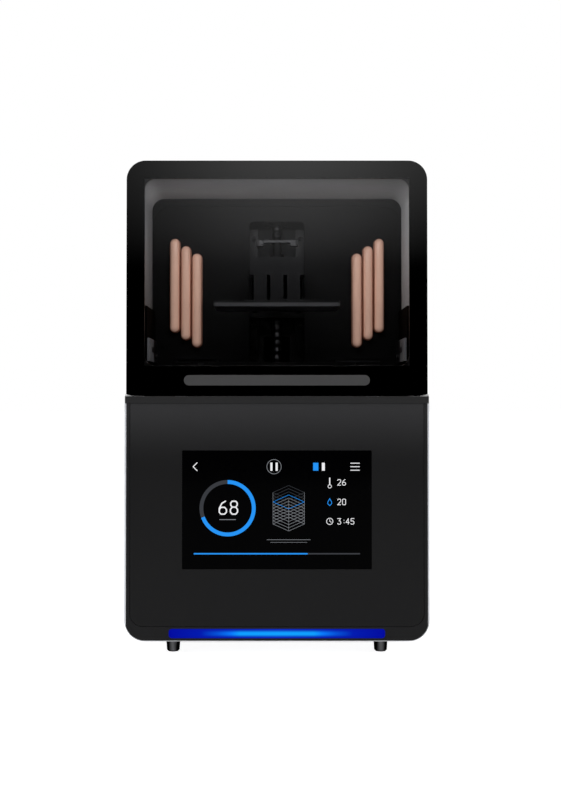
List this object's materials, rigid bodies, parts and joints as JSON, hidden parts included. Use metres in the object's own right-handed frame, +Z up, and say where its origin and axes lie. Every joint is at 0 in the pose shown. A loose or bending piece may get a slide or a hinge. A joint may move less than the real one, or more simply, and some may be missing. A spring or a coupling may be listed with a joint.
{
  "type": "resin 3d printer",
  "caption": "Desktop resin printer with a flip-up smoked hood, a screw-driven build platform over a vat, a projector in the base and a touch screen on the front.",
  "frame": {"origin": "bottom centre of the bounding box, on the surface that the feet rest on", "axes": "+X to the right seen from the front, +Y to the rear, +Z up; X is the narrow way and Z the tall way"},
  "size_m": [0.3504, 0.3816, 0.5685],
  "materials": {
    "silver_shell": "satin silver paint",
    "front_black": "satin paint",
    "panel_black": "satin paint",
    "dark_metal": "fine powder coat",
    "sheet_steel": "zinc plated sheet",
    "bare_steel": "ground",
    "rubber": "matt",
    "deck_grey": "dark anodised",
    "clear_glass": "polished",
    "screen_black": "gloss",
    "light_blue": "diffuse lens, lit",
    "light_white": "diffuse lens, lit",
    "board": "solder mask",
    "dark_aluminium": "black anodised, bead blasted",
    "plain_aluminium": "satin anodised",
    "lens_black": "matt",
    "fan_black": "moulded",
    "chamber_black": "satin paint",
    "filter_grey": "pleated",
    "grey_metal": "satin paint",
    "lamp_copper": "coated quartz, warm glow",
    "holder_copper": "dull copper",
    "nut_brass": "turned",
    "plate_grey": "bead blasted",
    "latch_grey": "satin anodised",
    "vat_black": "black anodised",
    "film_clear": "clear film",
    "hood_black": "satin moulded",
    "smoked_sheet": "polished",
    "grip_grey": "satin anodised"
  },
  "bodies": {
    "housing": {"base_shell": "silver_shell", "front_frame": "front_black", "front_panel": "panel_black", "rear_panel": "dark_metal", "chassis_tray": "sheet_steel", "deck_posts": "sheet_steel", "rubber_feet": "rubber", "deck_plate": "deck_grey", "deck_glass": "clear_glass", "deck_seal": "rubber", "display_glass": "screen_black", "display_module": "dark_metal", "light_strip": "light_blue", "light_strip_board": "board", "projector_body": "dark_aluminium", "projector_lens": "lens_black", "projector_bracket": "sheet_steel", "projector_fan_frame": "fan_black", "power_supply": "plain_aluminium", "main_board": "board", "mains_inlet": "fan_black", "rocker_frame": "fan_black", "data_ports": "bare_steel", "exhaust_fan_frame": "fan_black", "tower_shell": "chamber_black", "tower_back": "chamber_black", "chamber_wall": "chamber_black", "filter_housing": "fan_black", "filter_cartridge": "filter_grey", "filter_cover": "chamber_black", "blower_housing": "fan_black", "side_guards": "chamber_black", "guard_brackets": "grey_metal", "heater_lamps": "lamp_copper", "lamp_holders": "holder_copper", "pivot_bolts": "bare_steel", "lift_column": "dark_aluminium", "lift_rails": "bare_steel", "lift_bearing": "dark_aluminium", "lift_motor": "dark_metal", "vat_frame": "vat_black", "vat_film": "film_clear"},
    "hood": {"hood_shell": "hood_black", "visor": "smoked_sheet", "grip_strip": "grip_grey", "chamber_light": "light_white"},
    "lift": {"carriage": "dark_aluminium", "lift_nut": "nut_brass", "platform_arm": "dark_aluminium", "platform_mount": "dark_aluminium", "build_plate": "plate_grey"},
    "latch": {"platform_latch": "latch_grey"},
    "lift_drive": {"lift_screw": "bare_steel", "lift_coupling": "plain_aluminium"},
    "clamp_left": {"vat_clamp_left": "plain_aluminium"},
    "clamp_right": {"vat_clamp_right": "plain_aluminium"},
    "rocker": {"power_rocker": "fan_black"},
    "exhaust_rotor": {"exhaust_fan_rotor": "fan_black"},
    "projector_rotor": {"projector_fan_rotor": "fan_black"},
    "blower_wheel": {"blower_rotor": "fan_black"}
  },
  "joints": [
    {"name": "hood_hinge", "type": "hinge", "parent": "housing", "child": "hood", "pos_m": [0, 0.173, 0.54], "axis": [-1, 0, 0], "range_deg": [0, 70]},
    {"name": "platform_lift", "type": "slide", "parent": "housing", "child": "lift", "axis": [0, 0, 1], "range_m": [-0.104, 0.06]},
    {"name": "lift_screw_turn", "type": "hinge", "parent": "housing", "child": "lift_drive", "pos_m": [0, 0.104, 0.4], "axis": [0, 0, 1], "range_deg": [-2200, 3780]},
    {"name": "latch_turn", "type": "hinge", "parent": "lift", "child": "latch", "pos_m": [0, -0.075, 0.47], "axis": [0, 0, 1], "range_deg": [0, 90]},
    {"name": "clamp_left_turn", "type": "hinge", "parent": "housing", "child": "clamp_left", "pos_m": [-0.118, -0.075, 0.297], "axis": [0, 0, -1], "range_deg": [0, 90]},
    {"name": "clamp_right_turn", "type": "hinge", "parent": "housing", "child": "clamp_right", "pos_m": [0.118, -0.075, 0.297], "axis": [0, 0, 1], "range_deg": [0, 90]},
    {"name": "rocker_tilt", "type": "hinge", "parent": "housing", "child": "rocker", "pos_m": [-0.072, 0.1865, 0.104], "axis": [-1, 0, 0], "range_deg": [0, 20]},
    {"name": "exhaust_fan_spin", "type": "hinge", "parent": "housing", "child": "exhaust_rotor", "pos_m": [0.075, 0.1725, 0.15], "axis": [0, 1, 0], "continuous": true},
    {"name": "projector_fan_spin", "type": "hinge", "parent": "housing", "child": "projector_rotor", "pos_m": [0, -0.0175, 0.117], "axis": [0, 1, 0], "continuous": true},
    {"name": "blower_spin", "type": "hinge", "parent": "housing", "child": "blower_wheel", "pos_m": [0.108, 0.083, 0.372], "axis": [0, 1, 0], "continuous": true}
  ],
  "couplings": [
    {"joint": "lift_screw_turn", "follows": "platform_lift", "rad_per_m": -628.32}
  ]
}
